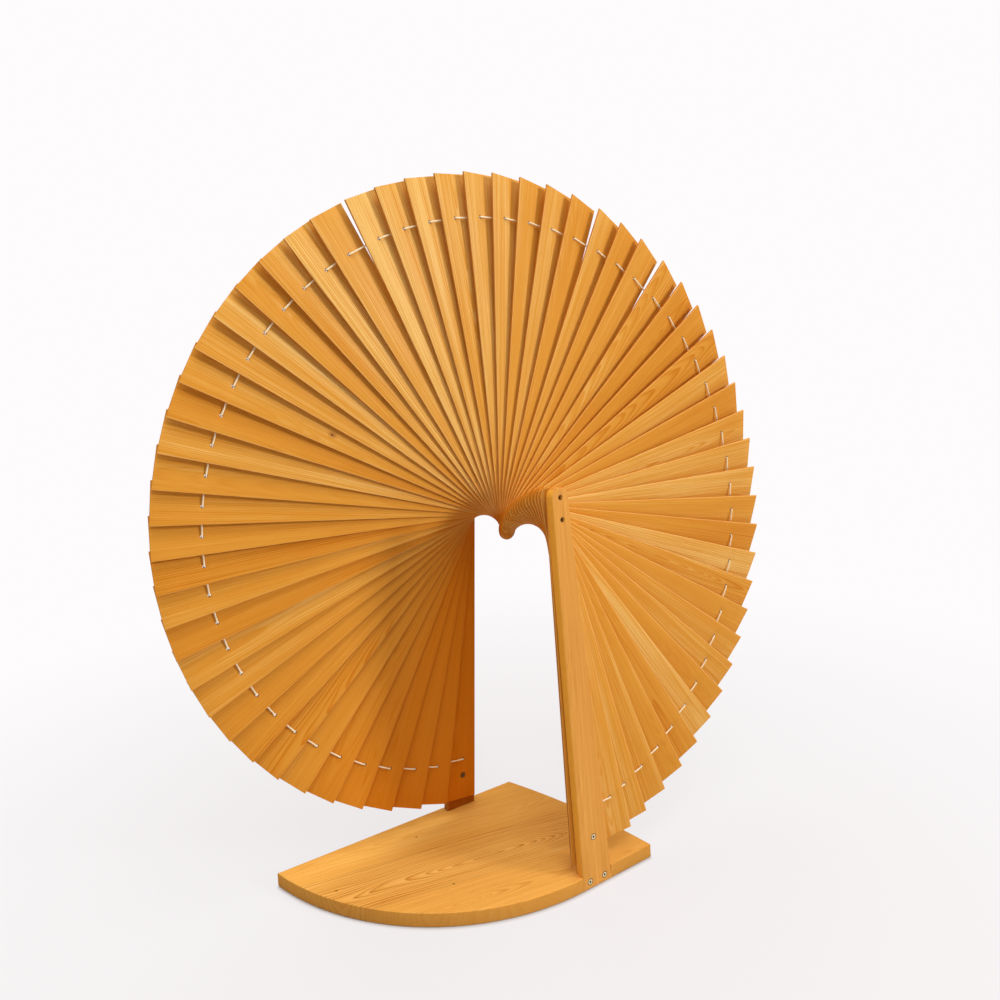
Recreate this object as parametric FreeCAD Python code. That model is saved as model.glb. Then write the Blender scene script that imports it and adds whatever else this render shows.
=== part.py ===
import FreeCAD, Part
import math
import os

# Fan-shaped folding screen. Millimetres, +Z up, +X to the viewer's right, +Y away from the viewer.
# The origin is on the floor, straight under the pivot rod, at the middle of the screen's depth.
V = FreeCAD.Vector

# Fan
slat_count = 63
slat_thickness = 4.65
slat_gap = 0.48              # free space between two neighbours at the hub
front_play = 6.2             # extra space behind the front end slat, where the cord passes
tip_clearance = 25.85        # slat corner to the top of the base, as it swings past
tip_radius = 695.0           # pivot to the slat's outer end
end_slat_extra = 9.0         # the two slats on the posts are this much longer
tip_width = 80.0
tail_length = 43.0           # pivot to the centre of the round tail
tail_radius = 19.0
twist_start = 40.0           # the slat is flat up to here
tip_twist = 15.0             # how far the cord pulls one tip corner towards the viewer
rear_lean = 4.8              # degrees from upright, rear post to the left
front_lean = 3.8             # degrees from upright, front post to the right
slat_set = 0.48              # degrees, slats sit this far clockwise of their even spread
uneven_spread = (1.76, -1.91, -2.49, -0.39, -0.51, -0.37)   # degrees, waves in the spacing
rear_step_extra = 0.6        # degrees, the first moving slat hangs this much further off its end slat
front_step_extra = 1.25      # degrees, the same for the last moving slat
loose_slats = (27, 36, 39)   # counted from 0: the cord has slackened just before these
loose_before = (1.1, -0.05, 0.95)   # degrees, how far the slat before each of them stands back
loose_after = (0.05, 0.78, -0.21)   # degrees, how far each of them stands off the other way
loose_reach = 3.0            # slats either side that share in it

# Pivot rod
rod_diameter = 8.0
rod_recess = 5.0             # rod end below the post's outer face
running_clearance = 0.08     # radial, slat on rod
seat_clearance = 0.02        # radial, rod in post

# Posts
post_thickness = 19.0
post_foot_width = 74.0
post_hole_depth = 14.0       # open hole at the centre of the front post's round top

# Base
base_thickness = 28.0
base_back_left = -498.0
base_back_right = 91.0
base_front_right = 198.0
base_front_left = 14.0
base_left_bulge = 101.0
base_right_bulge = 13.0
notch_clearance = 0.2
notch_overcut = 5.0          # the notch runs out past the base's edge

# Rim cord
cord_diameter = 3.2
cord_hole_diameter = 6.0
cord_from_tip = 86.0
cord_hole_offset = 5.1       # from the slat's middle towards its raised edge
cord_clearance = 0.35
cord_bend = 3.4              # bend radius of the cord's centre line
cord_last_drop = 5.8         # the last run drops this far behind the front end slat
cord_knot_diameter = 9.0
cord_pocket_diameter = 12.0
cord_pocket_depth = 9.0

# Screws
screw_diameter = 5.0
screw_head_diameter = 11.0
screw_fit = 0.05             # radial
screw_recess_width = 1.3
screw_recess_length = 5.6
screw_recess_depth = 1.6
base_screw_length = 45.0
base_screw_spacing = 38.0
slat_screw_length = 21.5
slat_screw_from_tip = 47.0

# Nodes: every fifth moving node holds two neighbouring slats, so that the set stays within its limit
pair_every = 5

slat_pitch = slat_thickness + slat_gap
pivot_height = base_thickness + tip_clearance + math.hypot(tip_radius, tip_width / 2)
cord_radius_on_slat = tip_radius - cord_from_tip
slat_screw_radius = tip_radius - slat_screw_from_tip
stack_depth = slat_count * slat_pitch - slat_gap + front_play
depth = stack_depth + 2 * post_thickness
back_y = depth / 2
front_y = -depth / 2
rear_inner_y = back_y - post_thickness
front_inner_y = front_y + post_thickness
rod_radius = rod_diameter / 2
cord_radius = cord_diameter / 2

os.makedirs("parts", exist_ok=True)


def save(shape, name):
    shape.exportStep("parts/" + name + ".step")


def slat_angle(index):
    # Angle of a slat seen from the front, counter-clockwise from +X.
    along = index / (slat_count - 1)
    first = 270.0 - rear_lean
    last = -90.0 + front_lean
    waves = sum(size * math.sin(math.pi * (n + 1) * along) for n, size in enumerate(uneven_spread))
    gaps = 0.0
    for slat, before, after in zip(loose_slats, loose_before, loose_after):
        away = index - slat + 0.5
        gaps += (before if away < 0 else -after) * math.exp((0.5 - abs(away)) / loose_reach)
    if index in (0, slat_count - 1):
        gaps = 0.0
    if index == 1:
        gaps -= rear_step_extra
    if index == slat_count - 2:
        gaps += front_step_extra
    return first + (last - first) * along + waves + gaps - slat_set


def slat_back(index):
    # Y of the slat's back face.
    play = front_play if index == slat_count - 1 else 0.0
    return rear_inner_y - index * slat_pitch - play


def half_width(u):
    share = (u + tail_length) / (tip_radius + tail_length)
    return tail_radius + (tip_width / 2 - tail_radius) * share


def section(u, twist):
    # The four corners of the slat across its length; its clockwise edge stays in the layer.
    share = max(0.0, (u - twist_start) / (tip_radius - twist_start))
    half = half_width(u)
    turn = math.asin(twist / tip_width)
    edge_v = half + share * (tip_width * math.cos(turn) - tip_width)
    edge_z = share * twist
    lean_v = -share * slat_thickness * math.sin(turn)
    lean_z = slat_thickness * (1 - share + share * math.cos(turn))
    low = V(u, -half, 0)
    high = V(u, edge_v, edge_z)
    rise = V(0, lean_v, lean_z)
    return [low, high, high + rise, low + rise]


def hole_frame(u, twist):
    # Middle of the cord hole and the direction square to the slat's face, in the slat's own frame.
    low, high, high_top, low_top = section(u, twist)
    across = high - low
    share = 0.5 + cord_hole_offset / across.Length
    middle = low + across * share + (low_top - low) / 2
    normal = V(0, -across.z, across.y)
    normal.normalize()
    return middle, normal


def drill(centre, normal, radius, reach):
    return Part.makeCylinder(radius, 2 * reach, centre - normal * reach, normal)


def place_slat(shape, index):
    # Slat frame (length, width, towards the viewer) to the part's frame.
    upright = FreeCAD.Rotation(V(1, 0, 0), 90)
    fan = FreeCAD.Rotation(V(0, -1, 0), slat_angle(index))
    shape.Placement = FreeCAD.Placement(V(0, slat_back(index), pivot_height), fan.multiply(upright))
    return shape


def to_part(point, index):
    upright = FreeCAD.Rotation(V(1, 0, 0), 90)
    fan = FreeCAD.Rotation(V(0, -1, 0), slat_angle(index))
    return fan.multiply(upright).multVec(point) + V(0, slat_back(index), pivot_height)


def tail_outline(end_u, half):
    # Round tail and straight sides up to end_u.
    start_a = V(-tail_length, -tail_radius, 0)
    start_b = V(-tail_length, tail_radius, 0)
    end_a = V(end_u, -half, 0)
    end_b = V(end_u, half, 0)
    edges = [
        Part.LineSegment(start_a, end_a).toShape(),
        Part.LineSegment(end_a, end_b).toShape(),
        Part.LineSegment(end_b, start_b).toShape(),
        Part.Arc(start_b, V(-tail_length - tail_radius, 0, 0), start_a).toShape(),
    ]
    return Part.Face(Part.Wire(edges))


def make_slat(twist):
    # One slat in its own frame: pivot at the origin, back face at Z = 0.
    if twist == 0:
        end = tip_radius + end_slat_extra
        body = tail_outline(end, half_width(end)).extrude(V(0, 0, slat_thickness))
    else:
        hub = tail_outline(twist_start, half_width(twist_start)).extrude(V(0, 0, slat_thickness))
        ends = []
        for u in (twist_start, tip_radius):
            corners = section(u, twist)
            ends.append(Part.makePolygon(corners + [corners[0]]))
        blade = Part.makeLoft(ends, True, True)
        body = hub.fuse(blade).removeSplitter()
        body = body.Solids[0]
    body = body.cut(Part.makeCylinder(rod_radius + running_clearance, slat_thickness * 3,
                                      V(0, 0, -slat_thickness)))
    centre, normal = hole_frame(cord_radius_on_slat, twist)
    body = body.cut(drill(centre, normal, cord_hole_diameter / 2, slat_thickness * 3))
    return body.Solids[0]


def make_screw(length):
    # Countersunk wood screw, head face at Z = 0, point towards -Z.
    shank = screw_diameter / 2
    head = screw_head_diameter / 2
    cone = head - shank
    profile = Part.makePolygon([V(0, 0, 0), V(head, 0, 0), V(shank, 0, -cone),
                                V(shank, 0, -length + shank), V(0, 0, -length), V(0, 0, 0)])
    screw = Part.Face(profile).revolve(V(0, 0, 0), V(0, 0, 1), 360)
    screw = Part.Solid(screw) if screw.ShapeType == "Shell" else screw
    for wide, tall in ((screw_recess_length, screw_recess_width), (screw_recess_width, screw_recess_length)):
        slot = Part.makeBox(wide, tall, screw_recess_depth, V(-wide / 2, -tall / 2, -screw_recess_depth))
        screw = screw.cut(slot)
    return screw


def screw_hole(length):
    # The hole that one screw sits in.
    shank = screw_diameter / 2 + screw_fit
    head = screw_head_diameter / 2 + screw_fit
    cone = head - shank
    top = Part.makeCone(shank, head, cone, V(0, 0, -cone))
    return top.fuse(Part.makeCylinder(shank, length + screw_fit, V(0, 0, -length - screw_fit)))


def drive(shape, point, outward):
    # Set a screw or its hole at a point, its head facing outward.
    shape.Placement = FreeCAD.Placement(point, FreeCAD.Rotation(V(0, 0, 1), outward))
    return shape


def post_point(lean, u, v, y):
    # Point on a post's centre line u below the pivot, v to the viewer's right of it.
    turn = math.radians(lean)
    down = V(math.sin(turn), 0, -math.cos(turn))
    right = V(math.cos(turn), 0, math.sin(turn))
    return V(0, y, pivot_height) + down * u + right * v


def make_post(lean, inner_y, outer_y, grow):
    # Tapered board with a round top; grow widens it for cutting the notch.
    foot_u = pivot_height / math.cos(math.radians(lean))
    over = 60.0
    rate = (post_foot_width / 2 - tail_radius) / (foot_u + tail_length)
    low_half = post_foot_width / 2 + rate * over + grow
    top_half = tail_radius + grow
    y = min(inner_y, outer_y)
    corners = [post_point(lean, -tail_length, -top_half, y), post_point(lean, foot_u + over, -low_half, y),
               post_point(lean, foot_u + over, low_half, y), post_point(lean, -tail_length, top_half, y)]
    crown = post_point(lean, -tail_length - top_half, 0, y)
    edges = [Part.LineSegment(corners[n], corners[n + 1]).toShape() for n in range(3)]
    edges.append(Part.Arc(corners[3], crown, corners[0]).toShape())
    board = Part.Face(Part.Wire(edges)).extrude(V(0, abs(outer_y - inner_y), 0))
    size = 4 * pivot_height
    below = Part.makeBox(size, size, size, V(-size / 2, -size / 2, -size))
    return board.cut(below)


def bulged(start, end, bulge):
    # Arc from start to end that bows out to the right of the way it runs.
    way = end - start
    side = V(way.y, -way.x, 0)
    side.normalize()
    return Part.Arc(start, (start + end) / 2 + side * bulge, end).toShape()


slats = {"flat": make_slat(0), "twisted": make_slat(tip_twist)}
last = slat_count - 1

# Where the screws go: head position and the way the head faces.
outward_front = V(0, -1, 0)
outward_back = V(0, 1, 0)
base_screw_spots = []
for lean, y, outward in ((front_lean, front_y, outward_front), (-rear_lean, back_y, outward_back)):
    foot_u = (pivot_height - base_thickness / 2) / math.cos(math.radians(lean))
    foot = post_point(lean, foot_u, 0, y)
    for side in (-1, 1):
        base_screw_spots.append((foot + V(side * base_screw_spacing / 2, 0, 0), outward))
slat_screw_spots = [
    (post_point(front_lean, slat_screw_radius, 0, front_y), outward_front),
    (post_point(-rear_lean, slat_screw_radius, 0, rear_inner_y - slat_thickness), outward_front),
]


def cut_screw_holes(shape):
    for point, outward in base_screw_spots:
        shape = shape.cut(drive(screw_hole(base_screw_length), point, outward))
    for point, outward in slat_screw_spots:
        shape = shape.cut(drive(screw_hole(slat_screw_length), point, outward))
    return shape


# Base plate with its two notches.
back_left = V(base_back_left, back_y, 0)
back_right = V(base_back_right, back_y, 0)
front_right = V(base_front_right, front_y, 0)
front_left = V(base_front_left, front_y, 0)
outline = [
    Part.LineSegment(back_right, back_left).toShape(),
    bulged(front_left, back_left, -base_left_bulge),
    Part.LineSegment(front_left, front_right).toShape(),
    bulged(front_right, back_right, base_right_bulge),
]
base = Part.Face(Part.Wire(Part.__sortEdges__(outline))).extrude(V(0, 0, base_thickness))
base = base.cut(make_post(front_lean, front_inner_y, front_y - notch_overcut, notch_clearance))
base = base.cut(make_post(-rear_lean, rear_inner_y, back_y + notch_overcut, notch_clearance))
save(cut_screw_holes(base), "base_plate")


# Posts, with the pivot hole, the pocket for the cord's knot and the screw holes.
def finish_post(post, slat_index, inner_y, inward):
    pivot = V(0, -depth, pivot_height)
    post = post.cut(Part.makeCylinder(rod_radius + seat_clearance, 2 * depth, pivot, V(0, 1, 0)))
    hole = to_part(hole_frame(cord_radius_on_slat, 0)[0], slat_index)
    knot = V(hole.x, inner_y, hole.z)
    post = post.cut(Part.makeCylinder(cord_pocket_diameter / 2, cord_pocket_depth, knot, inward))
    return cut_screw_holes(post)


front_post = make_post(front_lean, front_inner_y, front_y, 0)
front_post = finish_post(front_post, last, front_inner_y, outward_front)
open_hole = post_point(front_lean, -tail_length, 0, front_y)
front_post = front_post.cut(Part.makeCylinder(rod_radius, post_hole_depth, open_hole, V(0, 1, 0)))
save(front_post, "front_post")
rear_post = make_post(-rear_lean, rear_inner_y, back_y, 0)
save(finish_post(rear_post, 0, rear_inner_y, outward_back), "rear_post")

# End slats, flat against the posts.
save(cut_screw_holes(place_slat(slats["flat"].copy(), 0)), "rear_end_slat")
save(cut_screw_holes(place_slat(slats["flat"].copy(), last)), "front_end_slat")

# Pivot rod.
rod_start = V(0, front_y + rod_recess, pivot_height)
save(Part.makeCylinder(rod_radius, depth - 2 * rod_recess, rod_start, V(0, 1, 0)), "pivot_rod")

# Screws.
base_screws = [drive(make_screw(base_screw_length), point, outward) for point, outward in base_screw_spots]
save(Part.makeCompound(base_screws), "base_screws")
slat_screws = [drive(make_screw(slat_screw_length), point, outward) for point, outward in slat_screw_spots]
save(Part.makeCompound(slat_screws), "slat_screws")

# Moving slats.
index = 1
node = 0
while index < last:
    size = 2 if node % pair_every == pair_every // 2 else 1
    group = [place_slat(slats["twisted"].copy(), index + n) for n in range(size)]
    if size == 1:
        save(group[0], "slat_%02d" % (index + 1))
    else:
        save(Part.makeCompound(group), "slats_%02d_%02d" % (index + 1, index + 2))
    index += size
    node += 1


# Rim cord: forward through each slat's hole, then on behind the next slat.
def rounded_path(points, radius):
    edges = []
    here = points[0]
    for before, corner, after in zip(points, points[1:], points[2:]):
        back = before - corner
        ahead = after - corner
        back.normalize()
        ahead.normalize()
        half = math.acos(max(-1.0, min(1.0, back.dot(ahead)))) / 2
        reach = radius / math.tan(half)
        middle = back + ahead
        middle.normalize()
        into = corner + back * reach
        out = corner + ahead * reach
        top = corner + middle * (radius / math.sin(half) - radius)
        edges.append(Part.LineSegment(here, into).toShape())
        edges.append(Part.Arc(into, top, out).toShape())
        here = out
    edges.append(Part.LineSegment(here, points[-1]).toShape())
    return Part.Wire(edges)


stand_off = slat_thickness / 2 + cord_clearance + cord_radius
knot_depth = cord_pocket_depth - cord_knot_diameter / 2 - cord_clearance
route = []
for n in range(slat_count):
    middle, normal = hole_frame(cord_radius_on_slat, 0 if n in (0, last) else tip_twist)
    behind = to_part(middle - normal * stand_off, n)
    ahead = to_part(middle + normal * stand_off, n)
    if n == 0:
        behind = to_part(V(middle.x, middle.y, -knot_depth), n)
    if n == last:
        ahead = to_part(V(middle.x, middle.y, slat_thickness + knot_depth), n)
        behind = to_part(middle - normal * (stand_off + cord_last_drop), n)
    route += [behind, ahead]
path = rounded_path(route, cord_bend)
way = route[1] - route[0]
ring = Part.Wire(Part.makeCircle(cord_radius, route[0], way))
sweep = Part.BRepOffsetAPI.MakePipeShell(path)
sweep.add(ring)
sweep.build()
sweep.makeSolid()
cord = sweep.shape()
for end in (route[0], route[-1]):
    cord = cord.fuse(Part.makeSphere(cord_knot_diameter / 2, end))
save(cord.Solids[0], "rim_cord")
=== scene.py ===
import bpy
import bmesh
import math
import random
from mathutils import Matrix, Vector


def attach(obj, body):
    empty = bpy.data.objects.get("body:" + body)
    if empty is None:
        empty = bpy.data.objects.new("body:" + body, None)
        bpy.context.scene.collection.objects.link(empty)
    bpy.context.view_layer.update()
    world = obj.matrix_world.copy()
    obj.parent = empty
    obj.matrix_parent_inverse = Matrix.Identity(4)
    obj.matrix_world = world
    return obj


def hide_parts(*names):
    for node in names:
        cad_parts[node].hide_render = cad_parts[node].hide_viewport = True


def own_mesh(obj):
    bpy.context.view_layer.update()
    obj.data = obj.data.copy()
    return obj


# Fan-shaped folding screen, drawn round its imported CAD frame. Metres, +Z up, viewer on the -Y side.
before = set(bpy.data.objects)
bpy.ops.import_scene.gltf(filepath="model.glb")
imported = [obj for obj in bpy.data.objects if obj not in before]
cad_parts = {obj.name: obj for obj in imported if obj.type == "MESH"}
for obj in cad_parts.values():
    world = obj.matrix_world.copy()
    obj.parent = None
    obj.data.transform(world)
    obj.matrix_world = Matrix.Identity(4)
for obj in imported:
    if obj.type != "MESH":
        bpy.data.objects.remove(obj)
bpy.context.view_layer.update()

# Base plate: a lacquered panel of edge-glued softwood boards, straight at the back and bowed at the left front,
# with a notch at the back and one at the front that the posts stand in.
base_thickness = 0.028
half_depth = 0.183455
pivot_height = 0.750003
post_thickness = 0.019
post_lean = {"front": math.radians(3.8), "rear": math.radians(-4.8)}
post_foot = 0.074
tail = 0.043
tail_radius = 0.019
notch_gap = 0.0002
base_back = (-0.498, 0.091)
base_front = (0.014, 0.198)
left_bulge, right_bulge = 0.101, 0.013
corner_room = 0.0005
base_edge = 0.0016
base_slices = [-0.45 + 0.05 * n for n in range(13)]
base_grain_turn = math.radians(-10.0)
panel_board, panel_shift = 0.118, 0.0325
seam_fade = (0.0580, 0.0588)
base_pale, base_mid, base_dark = (0.91, 0.545, 0.155, 1), (0.80, 0.390, 0.076, 1), (0.45, 0.155, 0.020, 1)
base_ring, base_figure, base_spread, base_wild = 0.0036, 0.46, 0.03, 3.4
seam_brown = (0.34, 0.13, 0.025, 1)
base_sawn_brown = (0.66, 0.29, 0.048, 1)
right_end_shade_brown = (0.58, 0.26, 0.048, 1)
speck_black = (0.07, 0.03, 0.01, 1)
base_specks = ((-0.2033, 0.1223), (-0.2084, -0.0505), (-0.4128, 0.0646))


class Sock:
    # One shader socket. Arithmetic on it adds maths nodes; make() adds any other node.
    def __init__(self, tree, socket):
        self.tree = tree
        self.socket = socket

    def feed(self, target, value):
        if isinstance(value, Sock):
            self.tree.links.new(value.socket, target)
        else:
            target.default_value = value

    def make(self, kind, out=0, inputs=None, **settings):
        node = self.tree.nodes.new(kind)
        for name, value in settings.items():
            setattr(node, name, value)
        for name, value in (inputs or {}).items():
            self.feed(node.inputs[name], value)
        return Sock(self.tree, node.outputs[out])

    def maths(self, operation, *values):
        return self.make("ShaderNodeMath", inputs=dict(enumerate(values)), operation=operation)

    def __add__(self, other): return self.maths("ADD", self, other)
    def __radd__(self, other): return self.maths("ADD", other, self)
    def __sub__(self, other): return self.maths("SUBTRACT", self, other)
    def __rsub__(self, other): return self.maths("SUBTRACT", other, self)
    def __mul__(self, other): return self.maths("MULTIPLY", self, other)
    def __rmul__(self, other): return self.maths("MULTIPLY", other, self)
    def __truediv__(self, other): return self.maths("DIVIDE", self, other)
    def __rtruediv__(self, other): return self.maths("DIVIDE", other, self)

    def absolute(self):
        return self.maths("ABSOLUTE", self)

    def span(self, low, high, to_low=0.0, to_high=1.0):
        # Smooth step from low to high.
        return self.make("ShaderNodeMapRange", interpolation_type="SMOOTHSTEP", inputs={
            "Value": self, "From Min": low, "From Max": high, "To Min": to_low, "To Max": to_high})

    def mix(self, first, second):
        # Colour between first and second, with this socket as the share.
        return self.make("ShaderNodeMix", out=2, data_type="RGBA", inputs={0: self, 6: first, 7: second})


def new_material(name):
    material = bpy.data.materials.new(name)
    material.use_nodes = True
    tree = material.node_tree
    shader = tree.nodes["Principled BSDF"]
    return material, Sock(tree, shader.outputs[0]), shader


def own_number(paint, name):
    # A number that each piece carries as a property.
    return paint.make("ShaderNodeAttribute", out="Fac", attribute_name=name, attribute_type="OBJECT")


def grain_place(paint):
    # Along, across and through the board in metres, and the number that sets one board apart from the next.
    spot = paint.make("ShaderNodeAttribute", out="Vector", attribute_name="grain")
    along = paint.make("ShaderNodeSeparateXYZ", inputs={0: spot})
    across = Sock(paint.tree, along.socket.node.outputs[1])
    through = Sock(paint.tree, along.socket.node.outputs[2])
    return along, across, through, own_number(paint, "piece")


def lacquered_wood(paint, shader, place, pale, mid, dark, ring_gap, figure, spread, marks=(), wild=1.0):
    # Softwood under clear lacquer: the rings of a log cut at a slant, fine fibres, cloudy tone, paler edges that
    # are part wear and part painted highlight.
    along, across, through, board = place
    tone = own_number(paint, "tone")

    def pick(n):
        return paint.make("ShaderNodeTexWhiteNoise", noise_dimensions="1D", inputs={"W": board * 1.7 + n * 11.3})

    def cloud(a, b, c, detail, rough=0.5):
        spot = paint.make("ShaderNodeCombineXYZ", inputs={
            0: along * a + board * 3.17, 1: across * b + board * 7.31, 2: through * c + board * 1.93})
        return paint.make("ShaderNodeTexNoise", inputs={
            "Vector": spot, "Scale": 1.0, "Detail": detail, "Roughness": rough}) - 0.5

    # The log's rings: its heart lies beside and below the board, and every board is sawn from another place.
    heart = across + (pick(1) - 0.5) * spread
    sunk = pick(2) * 0.030 + 0.004 + through * 0.5
    sunk = sunk + along * (pick(3) - 0.5) * (0.10 * wild) + cloud(2.2, 5.0, 5.0, 2.0) * (0.018 * wild)
    radius = paint.maths("SQRT", heart * heart + sunk * sunk) + cloud(5.0, 22.0, 22.0, 2.0) * (0.004 * wild)
    uneven = paint.make("ShaderNodeTexNoise", noise_dimensions="1D", inputs={
        "W": radius * 90.0 + board, "Scale": 1.0, "Detail": 2.0})
    line = radius / ring_gap + uneven * 2.6
    ring = paint.maths("FRACT", line)
    late = ring.span(0.25, 0.90) * (1.0 - ring.span(0.90, 1.0)) - 0.30
    # Late wood, streaks, fibres and cloudy tone together set how dark the wood is.
    fibres = cloud(6.0, 520.0, 520.0, 3.0, 0.65)
    streaks = cloud(1.7, 120.0, 120.0, 3.0, 0.6)
    patch = cloud(3.0, 14.0, 14.0, 2.0)
    grown = late * figure * (0.25 + pick(4) * 1.1) + streaks * 0.52
    shade = grown * (1.0 - tone) + fibres * 0.50 + patch * 0.38 + tone + 0.45
    body = shade.span(0.0, 0.50).mix(pale, mid)
    body = shade.span(0.45, 1.10).mix(body, dark)
    flecks = cloud(30.0, 900.0, 900.0, 1.0).span(0.16, 0.24)
    body = (flecks * 0.30).mix(body, dark)
    for mask, colour in marks:
        body = mask.mix(body, colour)
    # Edges are paler, partly from wear and partly as a painted highlight, and have lost their lacquer.
    edge = paint.make("ShaderNodeNewGeometry", out="Pointiness").span(0.52, 0.60)
    paint.feed(shader.inputs["Base Color"], (edge * (0.10 + patch * 0.8)).mix(body, pale))
    paint.feed(shader.inputs["Roughness"], 0.46 + fibres * 0.18 + late * 0.06 + edge * 0.42)
    paint.feed(shader.inputs["Coat Weight"], (0.04 + patch * 0.06) * (1.0 - edge))
    shader.inputs["Coat Roughness"].default_value = 0.28
    shader.inputs["Specular IOR Level"].default_value = 0.02
    relief = fibres * 0.7 + late * 0.35 - flecks * 0.5
    paint.feed(shader.inputs["Normal"], paint.make("ShaderNodeBump", inputs={
        "Strength": 0.12, "Distance": 0.0006, "Height": relief}))


def near(paint, along, across, x, y, full, none, stretch=1.0):
    # 1 round a point of the board, fading to 0 further off.
    away = paint.maths("SQRT", (along - x) * (along - x) * stretch + (across - y) * (across - y))
    return 1.0 - away.span(full, none)


def pocketed(mesh, x, y, radius, low, high):
    # The board with a blind round pocket between two heights.
    cutter = bpy.data.meshes.new("pocket")
    work = bmesh.new()
    bmesh.ops.create_cone(work, cap_ends=True, segments=24, radius1=radius, radius2=radius, depth=high - low,
                          matrix=Matrix.Translation((x, y, (low + high) / 2)))
    work.to_mesh(cutter)
    work.free()
    board, tool = [bpy.data.objects.new(part.name, part) for part in (mesh, cutter)]
    for obj in (board, tool):
        bpy.context.scene.collection.objects.link(obj)
    cut = board.modifiers.new("pocket", "BOOLEAN")
    cut.object = tool
    bpy.context.view_layer.update()
    result = bpy.data.meshes.new_from_object(board.evaluated_get(bpy.context.evaluated_depsgraph_get()))
    for obj in (board, tool):
        bpy.data.objects.remove(obj)
    bpy.data.meshes.remove(cutter)
    bpy.data.meshes.remove(mesh)
    return result


def plank(name, outline, holes, thickness, edge, stations, shape, grain_turn=0.0, pockets=()):
    # A board cut from an outline with holes, its edges eased, sliced at the stations so that it can bend.
    curve = bpy.data.curves.new(name, "CURVE")
    curve.dimensions = "2D"
    curve.fill_mode = "BOTH"
    curve.extrude = thickness / 2 - edge
    curve.bevel_depth = edge
    curve.bevel_resolution = 2
    curve.offset = -edge
    for ring in [outline] + holes:
        spline = curve.splines.new("POLY")
        spline.points.add(len(ring) - 1)
        for point, (x, y) in zip(spline.points, ring):
            point.co = (x, y, 0, 1)
        spline.use_cyclic_u = True
    holder = bpy.data.objects.new(name + "_curve", curve)
    bpy.context.scene.collection.objects.link(holder)
    bpy.context.view_layer.update()
    mesh = bpy.data.meshes.new_from_object(holder.evaluated_get(bpy.context.evaluated_depsgraph_get()))
    bpy.data.objects.remove(holder)
    bpy.data.curves.remove(curve)
    work = bmesh.new()
    work.from_mesh(mesh)
    bmesh.ops.remove_doubles(work, verts=work.verts, dist=1e-6)
    for u in stations:
        bmesh.ops.bisect_plane(work, geom=work.verts[:] + work.edges[:] + work.faces[:], dist=1e-7,
                               plane_co=(u, 0, 0), plane_no=(1, 0, 0))
    bmesh.ops.recalc_face_normals(work, faces=work.faces)
    work.to_mesh(mesh)
    work.free()
    for pocket in pockets:
        mesh = pocketed(mesh, *pocket)
    grain = mesh.attributes.new("grain", "FLOAT_VECTOR", "POINT")
    cos, sin = math.cos(grain_turn), math.sin(grain_turn)
    for vertex in mesh.vertices:
        x, y, z = vertex.co
        z += thickness / 2
        grain.data[vertex.index].vector = (x * cos + y * sin, y * cos - x * sin, z)
        vertex.co = shape(x, y, z)
    mesh.update()
    mesh.shade_smooth()
    mesh.set_sharp_from_angle(angle=math.radians(40))
    mesh.name = name
    return mesh


def arc_points(start, end, bulge, count):
    # Points after start up to end on an arc that bows out to the right of the way it runs.
    a, b = Vector(start), Vector(end)
    way = b - a
    side = Vector((way.y, -way.x)).normalized()
    radius = (way.length ** 2 / 4 + bulge ** 2) / (2 * bulge)
    centre = (a + b) / 2 - side * (radius - bulge)
    first = math.atan2(a.y - centre.y, a.x - centre.x)
    turn = 2 * math.asin(way.length / 2 / radius)
    return [(centre.x + radius * math.cos(first + turn * n / count),
             centre.y + radius * math.sin(first + turn * n / count)) for n in range(1, count + 1)]


def add_piece(name, mesh, material, place, body, slot_name, *nodes):
    obj = bpy.data.objects.new(name, mesh)
    bpy.context.scene.collection.objects.link(obj)
    if not mesh.materials:
        mesh.materials.append(material)
    obj.matrix_world = place
    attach(obj, body)
    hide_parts(*nodes)
    return obj


def notch_x(side, v):
    # X of a notch's side, halfway up the base; v is -1 for its left side and 1 for its right side.
    turn = post_lean[side]
    drop = pivot_height - base_thickness / 2
    rate = (post_foot / 2 - tail_radius) / (pivot_height / math.cos(turn) + tail)
    half = tail_radius + rate * (drop / math.cos(turn) + tail)
    return math.tan(turn) * drop + v * (half + notch_gap) / math.cos(turn)


inner_face = half_depth - post_thickness
left_side = [(base_back[0], half_depth)]
left_side += arc_points(left_side[0], (base_front[0], -half_depth), left_bulge, 60)
right_side = [(base_front[1], -half_depth)]
right_side += arc_points(right_side[0], (base_back[1], half_depth), right_bulge, 24)
outline = [(notch_x("rear", -1), half_depth), (notch_x("rear", -1), inner_face),
           (notch_x("rear", 1), inner_face), (notch_x("rear", 1), half_depth)]
outline += reversed(right_side)
outline += [(notch_x("front", 1), -half_depth), (notch_x("front", 1), -inner_face),
            (notch_x("front", -1), -inner_face), (notch_x("front", -1), -half_depth)]
outline += [p for p in reversed(left_side) if p[0] < notch_x("front", -1) - corner_room]
base_mesh = plank("base_plate_board", outline, [], base_thickness, base_edge, base_slices,
                  lambda x, y, z: (x, y, z), base_grain_turn)

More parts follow.
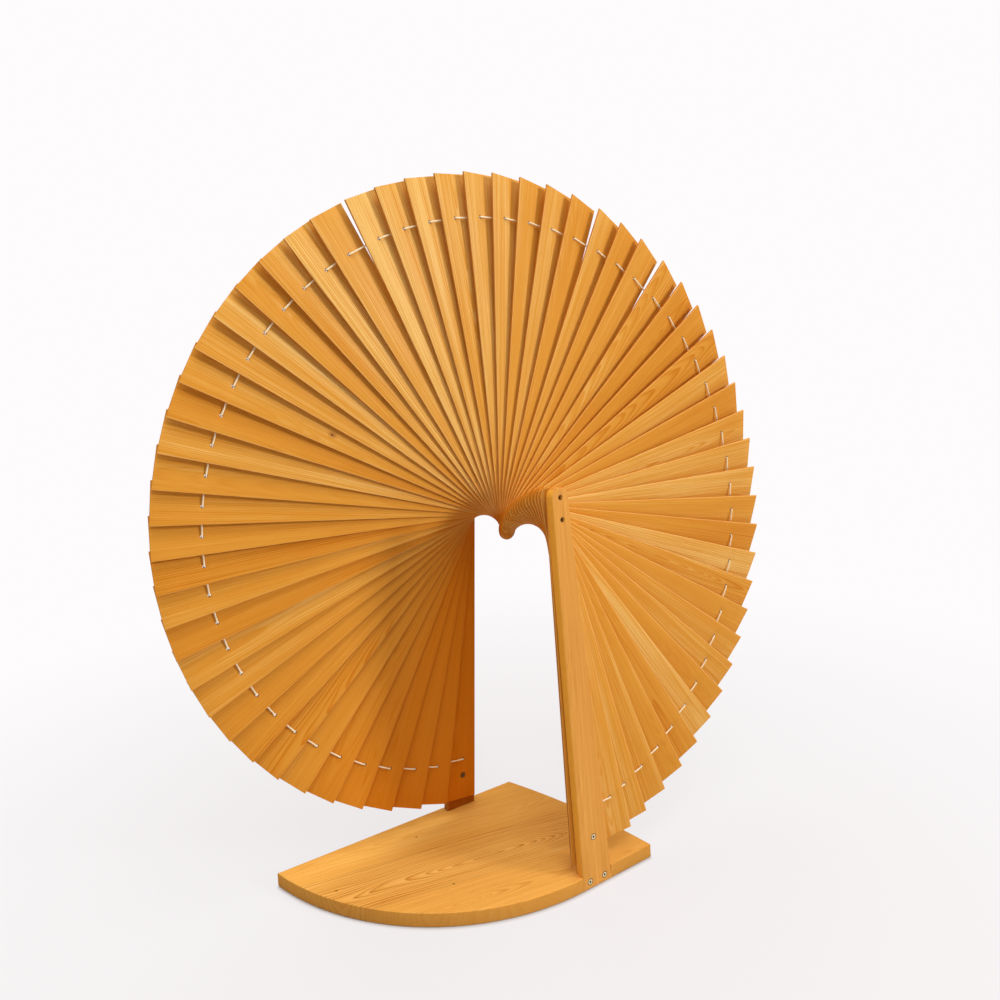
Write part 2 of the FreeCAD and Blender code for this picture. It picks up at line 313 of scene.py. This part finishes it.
base_wood, paint, shader = new_material("base_wood")
along, across, through, board = grain_place(paint)
row = (across - panel_shift) / panel_board
row_number = paint.maths("FLOOR", row)
in_row = (row - row_number - 0.5) * panel_board
seam = in_row.absolute().span(*seam_fade)
lie = paint.make("ShaderNodeSeparateXYZ", out="Z", inputs={0: paint.make("ShaderNodeNewGeometry", out="Normal")})
sawn_edge = 1.0 - lie.absolute().span(0.3, 0.7)
marks = [(seam * 0.45, seam_brown), (sawn_edge * 0.75, base_sawn_brown),
         # Painted shade: the base darkens towards its right end.
         (along.span(0.0, 0.2) * 0.5, right_end_shade_brown)]
cos, sin = math.cos(base_grain_turn), math.sin(base_grain_turn)
for x, y in base_specks:
    speck = near(paint, along, across, x * cos + y * sin, y * cos - x * sin, 0.0010, 0.0022, 0.4)
    marks.append((speck * 0.9, speck_black))
lacquered_wood(paint, shader, (along, in_row, through * 0.3, board + row_number * 2.3),
               base_pale, base_mid, base_dark, base_ring, base_figure, base_spread, marks, base_wild)
base = add_piece("base_plate_wood", base_mesh, base_wood, Matrix.Identity(4), "frame", "base_wood", "base_plate")
base["piece"], base["tone"] = 4.0, 0.0

# Posts: two tapered boards of the same wood with round tops, standing in the base's notches and leaning apart.
# Each is drilled for the pivot rod and its screws, and has a blind pocket in its inner face for a knot of the cord.
# The front one also has an open hole above the rod.
rod_hole = 0.00402
open_hole = 0.0040
screw_hole = 0.0057
slat_screw_reach = 0.648
foot_screw_height = base_thickness / 2
foot_screw_side = 0.019
pocket_reach, pocket_radius, pocket_depth = 0.609, 0.006, 0.009
post_edge = 0.0012
post_slices = [0.06 * n for n in range(1, 12)]
post_pale, post_mid, post_dark = (0.88, 0.48, 0.13, 1), (0.74, 0.33, 0.065, 1), (0.43, 0.12, 0.008, 1)
post_ring, post_figure, post_spread = 0.0040, 0.24, 0.10
post_piece_and_tone = {"front": (1.0, 0.02), "rear": (2.4, 0.62)}
drilled_shade_black = (0.10, 0.035, 0.010, 1)
post_left_painted_light = (1.0, 0.50, 0.060, 1)
joint_shade_brown = (0.22, 0.05, 0.004, 1)


def ring_points(x, y, radius, count=24):
    return [(x + radius * math.cos(2 * math.pi * n / count), y + radius * math.sin(2 * math.pi * n / count))
            for n in range(count)]


def round_tail(count):
    return [(-tail + tail_radius * math.cos(a), tail_radius * math.sin(a))
            for a in [math.pi / 2 + math.pi * n / count for n in range(count + 1)]]


for side in ("front", "rear"):
    turn = post_lean[side]
    foot = pivot_height / math.cos(turn)
    slant = math.tan(turn) * post_foot / 2
    outline = [(foot - slant, -post_foot / 2), (foot + slant, post_foot / 2)] + round_tail(32)
    drilled = [(0.0, 0.0, rod_hole)]
    for step in (-foot_screw_side, foot_screw_side):
        drilled.append(((pivot_height - foot_screw_height) / math.cos(turn) + step * math.sin(turn),
                        step * math.cos(turn), screw_hole))
    if side == "front":
        drilled += [(-tail, 0.0, open_hole), (slat_screw_reach, 0.0, screw_hole)]
    post_wood, paint, shader = new_material(side + "_post_wood")
    along, across, through, board = grain_place(paint)
    # Painted shade round every drilled hole.
    marks = [(near(paint, along, across, x, y, radius + 0.0005, radius + 0.0016) * 0.85, drilled_shade_black)
             for x, y, radius in drilled]
    if side == "front":
        # Its left side is painted paler as painted light, and a dark line of painted shade shows where it lies on
        # the end slat.
        facing = paint.make("ShaderNodeSeparateXYZ", inputs={0: paint.make("ShaderNodeNewGeometry", out="Normal")})
        narrow_side = 1.0 - Sock(paint.tree, facing.socket.node.outputs[1]).absolute().span(0.3, 0.7)
        joint_shade = narrow_side * (1.0 - through.span(0.0014, 0.0026)) * along.span(0.05, 0.25)
        marks += [((1.0 - facing.span(-0.8, -0.5)) * 0.85, post_left_painted_light), (joint_shade * 0.85, joint_shade_brown)]
    lacquered_wood(paint, shader, (along, across, through, board), post_pale, post_mid, post_dark,
                   post_ring, post_figure, post_spread, marks)
    down = Vector((math.sin(turn), 0, -math.cos(turn)))
    right = Vector((math.cos(turn), 0, math.sin(turn)))
    stand = Matrix((down, right, down.cross(right))).transposed().to_4x4()
    stand.translation = Vector((0, -inner_face if side == "front" else half_depth, pivot_height))
    pocket_floor = post_thickness / 2 - pocket_depth
    pocket_span = (-post_thickness, -pocket_floor) if side == "front" else (pocket_floor, post_thickness)
    mesh = plank(side + "_post_board", outline, [ring_points(*hole) for hole in drilled], post_thickness, post_edge,
                 post_slices, lambda x, y, z: stand @ Vector((x, y, z)),
                 pockets=[(pocket_reach, 0.0, pocket_radius, *pocket_span)])
    post = add_piece(side + "_post_wood", mesh, post_wood, Matrix.Identity(4), "frame", "post_wood", side + "_post")
    post["piece"], post["tone"] = post_piece_and_tone[side]

# Slats: 63 thin, tapered softwood boards with round tails, one in front of the other on the rod. The two at the
# ends lie flat on the posts, are screwed to them and are a little longer. The cord pulls one edge of each of the
# rest forward, so these are twisted.
slat_count = 63
slat_thickness = 0.00465
slat_pitch = 0.00513
front_play = 0.0062
tip_radius = 0.695
end_slat_extra = 0.009
tip_width = 0.080
twist_start = 0.040
tip_twist = 0.015
cord_hole_at = 0.609
cord_hole_side = 0.0051
cord_hole = 0.003
# How the slats are spread, in degrees; loose_reach counts slats.
slat_set = 0.48
uneven_spread = (1.76, -1.91, -2.49, -0.39, -0.51, -0.37)
end_step_extra = {1: -0.6, slat_count - 2: 1.25}
loose_slats = (27, 36, 39)
loose_before = (1.1, -0.05, 0.95)
loose_after = (0.05, 0.78, -0.21)
loose_reach = 3.0
# Every fifth moving node, from the third on, holds two slats.
pair_every = 5
slat_bore = 0.00408
slat_edge = 0.0010
slat_slices = [twist_start + 0.0005] + [twist_start + 0.0327 * n for n in range(1, 20)]
slat_screw_side = slat_screw_reach * math.sin(math.radians(slat_set))
knot_slat, knot_along, knot_across = 20, 0.405, 0.0076
lower_left_slats = 18
slat_pale, slat_mid, slat_dark = (0.88, 0.56, 0.180, 1), (0.72, 0.310, 0.040, 1), (0.58, 0.160, 0.004, 1)
slat_ring, slat_figure, slat_spread = 0.0030, 0.32, 0.16
worn_and_highlight_pale = (0.95, 0.60, 0.24, 1)
deep_red_shade = (0.73, 0.215, 0.005, 1)
sawn_red_and_shade = (0.54, 0.145, 0.003, 1)
seat_shade_brown = (0.20, 0.045, 0.003, 1)
knot_halo_brown, knot_core_brown = (0.42, 0.15, 0.03, 1), (0.16, 0.05, 0.012, 1)
cord_hole_shade_brown = (0.20, 0.06, 0.012, 1)
screw_hole_shade_black = (0.08, 0.025, 0.008, 1)


def slat_angle(index):
    share = index / (slat_count - 1)
    first = 270.0 + math.degrees(post_lean["rear"])
    last = -90.0 + math.degrees(post_lean["front"])
    angle = first + (last - first) * share - slat_set
    angle += sum(size * math.sin(math.pi * (n + 1) * share) for n, size in enumerate(uneven_spread))
    angle += end_step_extra.get(index, 0.0)
    if 0 < index < slat_count - 1:
        for slat, before, after in zip(loose_slats, loose_before, loose_after):
            away = index - slat + 0.5
            angle += (before if away < 0 else -after) * math.exp((0.5 - abs(away)) / loose_reach)
    return math.radians(angle)


def slat_half(u):
    return tail_radius + (tip_width / 2 - tail_radius) * (u + tail) / (tip_radius + tail)


def twisted(u, v, z, twist):
    # Where the cord's pull brings a point of a flat slat.
    share = max(0.0, (u - twist_start) / (tip_radius - twist_start))
    turn = math.asin(twist / tip_width)
    half = slat_half(max(u, -tail))
    over = (v + half) / (2 * half)
    high = half + share * tip_width * (math.cos(turn) - 1)
    rise = slat_thickness * (1 - share + share * math.cos(turn))
    return (u, -half + over * (high + half) - share * z * math.sin(turn),
            over * share * twist + z / slat_thickness * rise)


def slat_place(index):
    angle = slat_angle(index)
    out = Vector((math.cos(angle), 0, math.sin(angle)))
    over = Vector((-math.sin(angle), 0, math.cos(angle)))
    back = inner_face - index * slat_pitch - (front_play if index == slat_count - 1 else 0)
    place = Matrix((out, over, Vector((0, -1, 0)))).transposed().to_4x4()
    place.translation = Vector((0, back, pivot_height))
    return place


slat_wood, paint, shader = new_material("slat_wood")
along, across, through, board = grain_place(paint)
wide = tail_radius + (along + tail) * ((tip_width / 2 - tail_radius) / (tip_radius + tail))
rubbed_and_highlit = 1.0 - (wide - across.absolute()).span(0.0006, 0.0020)
faces = paint.make("ShaderNodeSeparateXYZ", out="Y", inputs={0: paint.make("ShaderNodeNewGeometry", out="Normal")})
sawn = 1.0 - faces.absolute().span(0.3, 0.7)
tail_end = 1.0 - along.span(-0.01, 0.05)
post_seat = through.span(slat_thickness - 0.0024, slat_thickness - 0.0014)
knotty = own_number(paint, "knot")
knot_halo = near(paint, along, across, knot_along, knot_across, 0.003, 0.009, 0.45)
knot_core = near(paint, along, across, knot_along, knot_across, 0.0015, 0.0030, 0.45)
cord_rim = near(paint, along, across, cord_hole_at, cord_hole_side, cord_hole + 0.0001, cord_hole + 0.0008)
screw_rim = near(paint, along, across, slat_screw_reach, slat_screw_side, screw_hole + 0.0006, screw_hole + 0.0018)
# Paler strips along the faces' edges: wear, together with a painted highlight.
marks = [(rubbed_and_highlit * (1.0 - sawn) * own_number(paint, "wear_and_highlight"), worn_and_highlight_pale),
         # A deeper red on the lower left slats, partly painted shade.
         (own_number(paint, "deep_shade"), deep_red_shade),
         # Sawn edges are redder and darker, most at the round tails by the rod: partly the sawn grain, partly
         # painted shade.
         (sawn * paint.maths("MAXIMUM", tail_end * 0.85, own_number(paint, "dim_edge")), sawn_red_and_shade),
         # Painted shade along the front end slat's edge where it lies on the post.
         (sawn * own_number(paint, "seated") * post_seat * along.span(0.05, 0.25), seat_shade_brown),
         (knotty * knot_halo * 0.55, knot_halo_brown),
         (knotty * knot_core * 0.8, knot_core_brown),
         # Painted shade round the cord hole.
         (cord_rim * 0.6, cord_hole_shade_brown),
         # Painted shade round the rear end slat's screw hole.
         (own_number(paint, "screwed") * screw_rim * 0.85, screw_hole_shade_black)]
lacquered_wood(paint, shader, (along, across, through, board), slat_pale, slat_mid, slat_dark,
               slat_ring, slat_figure, slat_spread, marks)


def slat_mesh(name, reach, twist, screw_holes=()):
    outline = [(reach, -slat_half(reach)), (reach, slat_half(reach))] + round_tail(28)
    holes = [ring_points(0, 0, slat_bore), ring_points(cord_hole_at, cord_hole_side, cord_hole, 20)]
    holes += [ring_points(*hole) for hole in screw_holes]
    return plank(name, outline, holes, slat_thickness, slat_edge, slat_slices,
                 lambda u, v, z: twisted(u, v, z, twist))


def around(n, slat, width):
    # 1 at one slat, less at its neighbours.
    return math.exp(-((n - slat) / width) ** 2)


end_reach = tip_radius + end_slat_extra
rear_mesh = slat_mesh("rear_end_slat_board", end_reach, 0.0, [(slat_screw_reach, slat_screw_side, screw_hole)])
front_mesh = slat_mesh("front_end_slat_board", end_reach, 0.0)
moving_mesh = slat_mesh("slat_board", tip_radius, tip_twist)
slat_node = {0: "rear_end_slat", slat_count - 1: "front_end_slat"}
slat_body = {0: "frame", slat_count - 1: "frame"}
index = 1
node = 0
while index < slat_count - 1:
    group = 2 if node % pair_every == pair_every // 2 else 1
    name = "slat_%02d" % (index + 1) if group == 1 else "slats_%02d_%02d" % (index + 1, index + 2)
    for n in range(group):
        slat_node[index + n] = name
        slat_body[index + n] = name + "_body"
    index += group
    node += 1
dice = random.Random(12)
for n in range(slat_count):
    mesh = {0: rear_mesh, slat_count - 1: front_mesh}.get(n, moving_mesh)
    slat = add_piece("slat_%02d_wood" % (n + 1), mesh, slat_wood, slat_place(n), slat_body[n],
                     "slat_wood", slat_node[n])
    # The slat's own numbers: its grain, its tone, and how much each mark shows on it. Its tone is partly painted
    # light and shade, darker towards the lower left and lighter near the top, and the deeper red of the lower left
    # slats is partly painted shade.
    slat["piece"] = 1.0 + n * 1.37 + dice.random()
    tone_and_painted_light = 0.30 * math.exp(-n / 5) - 0.18 * around(n, 28, 6) + 0.08 * around(n, 38, 6) + 0.12 * around(n, 15, 7)
    slat["tone"] = dice.uniform(-0.14, 0.14) + tone_and_painted_light
    slat["wear_and_highlight"] = 0.12 if n < lower_left_slats else 0.40
    slat["deep_shade"] = 0.72 * math.exp(-(n / 5.2) ** 3)
    slat["knot"] = 1.0 if n == knot_slat else 0.0
    slat["screwed"] = 1.0 if n == 0 else 0.0
    # How dark the sawn edges are painted, partly as painted shade; darker on the rear end slat.
    slat["dim_edge"] = {0: 0.7, slat_count - 1: 0.0}.get(n, 0.5)
    slat["seated"] = 0.9 if n == slat_count - 1 else 0.0

# Rim cord: an off-white cotton cord laced forward through every slat's hole and on behind the next slat, so that
# one short stitch shows on each. Each run is two halves, one on either slat, that meet halfway. Where the two slats
# swing by themselves, each half gets a mesh of its own.
cord_radius = 0.0016
cord_sides = 10
cord_play = 0.00035
cord_lift = slat_thickness / 2 + cord_play + cord_radius
cord_last_drop = 0.0058
cord_turn = 0.0030
cord_twist, cord_strands = 330.0, 3.0
cord_shade, cord_light, cord_dirt = (0.90, 0.74, 0.46, 1), (1.0, 0.90, 0.66, 1), (0.70, 0.58, 0.42, 1)


def cord_points(index):
    # Points behind, in and in front of a slat's cord hole, on the hole's own line.
    twist = 0 if index in (0, slat_count - 1) else tip_twist
    half = slat_half(cord_hole_at)
    low = Vector(twisted(cord_hole_at, -half, 0, twist))
    high = Vector(twisted(cord_hole_at, half, 0, twist))
    thick = Vector(twisted(cord_hole_at, half, slat_thickness, twist)) - high
    middle = low + (high - low) * (0.5 + cord_hole_side / (high - low).length) + thick / 2
    normal = Vector((1, 0, 0)).cross(high - low).normalized()
    back = cord_lift + (cord_last_drop if index == slat_count - 1 else 0)
    place = slat_place(index)
    return place @ (middle - normal * back), place @ middle, place @ (middle + normal * cord_lift)


def cord_line(name, points):
    # The smooth line that a cord takes along its route.
    curve = bpy.data.curves.new(name, "CURVE")
    curve.dimensions = "3D"
    spline = curve.splines.new("NURBS")
    spline.points.add(len(points) - 1)
    for point, spot in zip(spline.points, points):
        point.co = (*spot, 1)
    spline.order_u = 3
    spline.use_endpoint_u = True
    spline.resolution_u = 6
    holder = bpy.data.objects.new(name, curve)
    bpy.context.scene.collection.objects.link(holder)
    bpy.context.view_layer.update()
    mesh = bpy.data.meshes.new_from_object(holder.evaluated_get(bpy.context.evaluated_depsgraph_get()))
    line = [vertex.co.copy() for vertex in mesh.vertices]
    bpy.data.meshes.remove(mesh)
    bpy.data.objects.remove(holder)
    bpy.data.curves.remove(curve)
    return line


def tube(name, line, radius, sides):
    # A round tube along a line; "lay" holds the length run and the share of the way round.
    mesh = bpy.data.meshes.new(name)
    verts, faces, marks = [], [], []
    side = Vector((0.31, 0.42, 0.85))
    run = 0.0
    for n, point in enumerate(line):
        way = (line[min(n + 1, len(line) - 1)] - line[max(n - 1, 0)]).normalized()
        side = (side - way * side.dot(way)).normalized()
        other = way.cross(side)
        if n:
            run += (point - line[n - 1]).length
        for k in range(sides):
            a = 2 * math.pi * k / sides
            verts.append(point + (side * math.cos(a) + other * math.sin(a)) * radius)
            marks.append((run, k / sides, 0))
    for n in range(len(line) - 1):
        for k in range(sides):
            m = (k + 1) % sides
            faces.append((n * sides + k, n * sides + m, (n + 1) * sides + m, (n + 1) * sides + k))
    faces.append(tuple(reversed(range(sides))))
    faces.append(tuple(range((len(line) - 1) * sides, len(line) * sides)))
    mesh.from_pydata(verts, [], faces)
    lay = mesh.attributes.new("lay", "FLOAT_VECTOR", "POINT")
    for n, mark in enumerate(marks):
        lay.data[n].vector = mark
    mesh.update()
    mesh.shade_smooth()
    return mesh


cord_cotton, paint, shader = new_material("cord")
spot = paint.make("ShaderNodeAttribute", out="Vector", attribute_name="lay")
run = paint.make("ShaderNodeSeparateXYZ", inputs={0: spot})
way_round = Sock(paint.tree, run.socket.node.outputs[1])
strand = paint.maths("SINE", (run * cord_twist + way_round * cord_strands) * (2 * math.pi)) * 0.5 + 0.5
fuzz = paint.make("ShaderNodeTexNoise", inputs={"Scale": 900.0, "Detail": 2.0})
dirt = paint.make("ShaderNodeTexNoise", inputs={"Scale": 60.0, "Detail": 2.0})
thread = strand.mix(cord_shade, cord_light)
paint.feed(shader.inputs["Base Color"], dirt.span(0.55, 0.8, 0.0, 0.25).mix(thread, cord_dirt))
paint.feed(shader.inputs["Roughness"], 0.78 + fuzz * 0.15)
paint.feed(shader.inputs["Normal"], paint.make("ShaderNodeBump", inputs={
    "Strength": 0.4, "Distance": 0.0005, "Height": strand + fuzz * 0.4}))
places = [cord_points(n) for n in range(slat_count)]
for n in range(slat_count - 1):
    _, inside, ahead = places[n]
    next_behind, next_inside, _ = places[n + 1]
    halfway = (ahead + next_behind) / 2
    bend = (halfway - ahead).normalized() * cord_turn
    step = math.degrees(slat_angle(n) - slat_angle(n + 1))
    front_route = [inside, ahead, ahead + bend, halfway]
    back_route = [halfway, next_behind - bend, next_behind, next_inside]
    for half, route, rider, hole in (("front", front_route, n, ahead), ("back", back_route, n + 1, next_behind)):
        name = "stitch_%02d_%s" % (n + 1, half)
        mesh = tube(name, cord_line(name, route), cord_radius, cord_sides)
        stitch = add_piece(name, mesh, cord_cotton, Matrix.Identity(4), slat_body[rider], "cord", "rim_cord")
        # The last run stays as it is, because the front end slat doesn't swing.
        if slat_body[n] != slat_body[n + 1] and n + 1 < slat_count - 1:
            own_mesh(stitch)

# End knots: the two ends of the same cotton cord, each led through its end slat and tied in an overhand knot that
# sits in the pocket of the post beside it.
knot_sink = 0.00415
knot_turn = 0.0012
knot_spots, knot_round = 13, 12.6
for side, n, depth in (("rear", 0, -knot_sink), ("front", slat_count - 1, slat_thickness + knot_sink)):
    spots = [(cord_hole_at, cord_hole_side, slat_thickness / 2),
             (cord_hole_at, cord_hole_side, depth * 0.5 + slat_thickness * 0.25)]
    for step in range(knot_spots):
        a = 2 * math.pi * step / knot_round
        spots.append((cord_hole_at + knot_turn * (math.sin(a) + 2 * math.sin(2 * a)),
                      cord_hole_side + knot_turn * (math.cos(a) - 2 * math.cos(2 * a)),
                      depth - knot_turn * math.sin(3 * a)))
    name = "end_knot_" + side
    route = [slat_place(n) @ Vector(spot) for spot in spots]
    mesh = tube(name, cord_line(name, route), cord_radius, cord_sides)
    add_piece(name, mesh, cord_cotton, Matrix.Identity(4), "frame", "cord", "rim_cord")

# Pivot rod: a plain round rod of darkened steel, pushed through both posts and every slat. It has no head, and its
# ends are set back in the posts' holes.
rod_black, rod_grey = (0.05, 0.04, 0.035, 1), (0.14, 0.12, 0.10, 1)
rod_steel, paint, shader = new_material("rod_steel")
spot = paint.make("ShaderNodeTexCoord", out="Object")
scratch = paint.make("ShaderNodeTexNoise", inputs={"Vector": spot, "Scale": 900.0, "Detail": 3.0})
stain = paint.make("ShaderNodeTexNoise", inputs={"Vector": spot, "Scale": 240.0, "Detail": 2.0})
paint.feed(shader.inputs["Base Color"], stain.mix(rod_black, rod_grey))
paint.feed(shader.inputs["Roughness"], 0.34 + scratch * 0.25)
shader.inputs["Metallic"].default_value = 1.0
paint.feed(shader.inputs["Normal"], paint.make("ShaderNodeBump", inputs={
    "Strength": 0.15, "Distance": 0.0002, "Height": scratch}))
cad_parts["pivot_rod"].data.materials.clear()
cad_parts["pivot_rod"].data.materials.append(rod_steel)

# Screws: plated, countersunk, with a cross recess. Two hold the foot of each post to the base, one holds the
# front end slat through its post and one goes through the rear end slat into its post.
recess_fade, head_fade = (0.0020, 0.0030), (0.0046, 0.0054)
rim_fade, rear_screw_shade_fade = (0.0070, 0.0080), (0.0060, 0.0070)
plate_dull, plate_bright = (0.78, 0.60, 0.30, 1), (0.98, 0.88, 0.60, 1)
recess_shade_black = (0.05, 0.035, 0.02, 1)
rear_screw_shade_brown = (0.10, 0.06, 0.035, 1)
screw_steel, paint, shader = new_material("screw_steel")
spot = paint.make("ShaderNodeTexCoord", out="Object")
scratch = paint.make("ShaderNodeTexNoise", inputs={"Vector": spot, "Scale": 1400.0, "Detail": 3.0})
stain = paint.make("ShaderNodeTexNoise", inputs={"Vector": spot, "Scale": 300.0, "Detail": 2.0})
sideways = paint.make("ShaderNodeSeparateXYZ", inputs={0: spot})
height = Sock(paint.tree, sideways.socket.node.outputs[2])
plate = stain.mix(plate_dull, plate_bright)
for side in ("front", "rear"):
    turn = post_lean[side]
    drop = pivot_height - foot_screw_height
    heads = [(math.tan(turn) * drop + step, foot_screw_height) for step in (-foot_screw_side, foot_screw_side)]
    heads.append((slat_screw_reach * math.sin(turn), pivot_height - slat_screw_reach * math.cos(turn)))
    # Each head gets a dark centre and a dark ring round it, painted shade in the cross recess and round the
    # countersunk head.
    for x, z in heads:
        core = near(paint, sideways, height, x, z, *recess_fade)
        head = near(paint, sideways, height, x, z, *head_fade)
        rim = near(paint, sideways, height, x, z, *rim_fade) - head
        plate = (core * 0.92 + rim * 0.75).mix(plate, recess_shade_black)
# The last head is that of the rear slat screw, which is painted dark as painted shade.
rear_screw_shade = near(paint, sideways, height, *heads[-1], *rear_screw_shade_fade)
paint.feed(shader.inputs["Base Color"], (rear_screw_shade * 0.8).mix(plate, rear_screw_shade_brown))
paint.feed(shader.inputs["Roughness"], 0.30 + scratch * 0.22)
shader.inputs["Metallic"].default_value = 1.0
paint.feed(shader.inputs["Normal"], paint.make("ShaderNodeBump", inputs={
    "Strength": 0.2, "Distance": 0.0002, "Height": scratch}))
for node in ("base_screws", "slat_screws"):
    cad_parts[node].data.materials.clear()
    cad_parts[node].data.materials.append(screw_steel)

# Floor: a plain pale sheet under the base, which keeps the soft shadow of the screen and runs on to a white
# background. It belongs to the stage, not to the screen.
floor_reach, floor_drop = 9, 0.0005
floor_grey, floor_light = (0.50, 0.50, 0.52, 1), (0.54, 0.54, 0.56, 1)
background_white = (0.99, 0.965, 0.98, 1)


def shown(paint):
    # 1 where the eye, a reflection or glass shows the surface, 0 where it only throws light on others.
    seen = paint.make("ShaderNodeLightPath", out="Is Camera Ray")
    for kind in ("Is Glossy Ray", "Is Transmission Ray"):
        seen = paint.maths("MAXIMUM", seen, paint.make("ShaderNodeLightPath", out=kind))
    return seen


floor_mesh = bpy.data.meshes.new("floor")
floor_corners = [(x * floor_reach, y * floor_reach, 0) for x, y in ((-1, -1), (1, -1), (1, 1), (-1, 1))]
floor_mesh.from_pydata(floor_corners, [], [(0, 1, 2, 3)])
floor = bpy.data.objects.new("floor", floor_mesh)
bpy.context.scene.collection.objects.link(floor)
floor_paint, paint, shader = new_material("floor")
mottle = paint.make("ShaderNodeTexNoise", inputs={"Scale": 3.0, "Detail": 4.0})
paint.feed(shader.inputs["Base Color"], mottle.mix(floor_grey, floor_light))
shader.inputs["Roughness"].default_value = 0.7
spot = paint.make("ShaderNodeNewGeometry", out="Position")
distance = paint.make("ShaderNodeVectorMath", out="Value", operation="LENGTH", inputs={0: spot})
glow = paint.make("ShaderNodeEmission", inputs={"Color": background_white, "Strength": 1.0})
# Painted contact shade: where the floor is hemmed in close under the base, less of the white shows, so it darkens
# there.
nook = paint.make("ShaderNodeAmbientOcclusion", out="AO", inputs={"Distance": 0.012})
pale_share = distance.span(0.3, 2.4, 0.74, 1.0) * nook.span(0.45, 0.95, 0.0, 1.0)
both = paint.make("ShaderNodeMixShader", inputs={0: shown(paint) * pale_share, 1: paint, 2: glow})
paint.feed(floor_paint.node_tree.nodes["Material Output"].inputs["Surface"], both)
floor_mesh.materials.append(floor_paint)
floor.location.z = -floor_drop

# Light: a soft light at the front right, a soft one overhead, a weak one at the left, and a surround that is
# brightest overhead, gives a warm light and is itself seen as white.
surround_warm = (1.0, 0.93, 0.83, 1)
world = bpy.data.worlds.new("surround")
bpy.context.scene.world = world
world.use_nodes = True
surround = world.node_tree.nodes["Background"]
sky = Sock(world.node_tree, surround.outputs[0])
way = sky.make("ShaderNodeSeparateXYZ", out="Z", inputs={0: sky.make("ShaderNodeTexCoord", out="Generated")})
seen = shown(sky)
glow = way.span(0.45, 1.0, 0.06, 2.1)
sky.feed(surround.inputs["Color"], seen.mix(surround_warm, background_white))
sky.feed(surround.inputs["Strength"], seen * (1.0 - glow) + glow)
for name, spot, aim, size, power in (("key", (5.2, -6.0, 3.2), (0, 0, 0.75), 1.5, 338.0),
                                     ("overhead", (-0.3, -1.3, 3.6), (-0.15, 0, 0.0), 1.4, 22.0),
                                     ("fill", (-3.0, -3.4, 2.0), (0, 0, 0.6), 2.2, 12.0)):
    lamp = bpy.data.lights.new(name, "AREA")
    lamp.size = size
    lamp.energy = power
    light = bpy.data.objects.new(name, lamp)
    light.location = spot
    light.rotation_euler = (Vector(aim) - Vector(spot)).to_track_quat("-Z", "Y").to_euler()
    bpy.context.scene.collection.objects.link(light)

# Camera: the photograph's own viewpoint, worked out from the cord holes and the edges of the base. It stands at the
# left front, a little higher than the rod, and the shift sets the framing.
eye = Vector((-0.8067, -1.1690, 0.9750))
yaw, pitch, roll = -0.5168, 0.0709, -0.0569
film_width, focal_share = 36.0, 0.6677
forward = Vector((-math.sin(yaw) * math.cos(pitch), math.cos(yaw) * math.cos(pitch), -math.sin(pitch)))
level = Vector((math.cos(yaw), math.sin(yaw), 0))
over = level.cross(forward)
right = level * math.cos(roll) + over * math.sin(roll)
up = over * math.cos(roll) - level * math.sin(roll)
lens = bpy.data.cameras.new("camera")
lens.sensor_width = film_width
lens.lens = film_width * focal_share
lens.shift_x = 0.0543
lens.shift_y = -0.0450
camera = bpy.data.objects.new("camera", lens)
place = Matrix((right, up, -forward)).transposed().to_4x4()
place.translation = eye
camera.matrix_world = place
bpy.context.scene.collection.objects.link(camera)
bpy.context.scene.camera = camera
bpy.context.scene.view_settings.view_transform = "Standard"
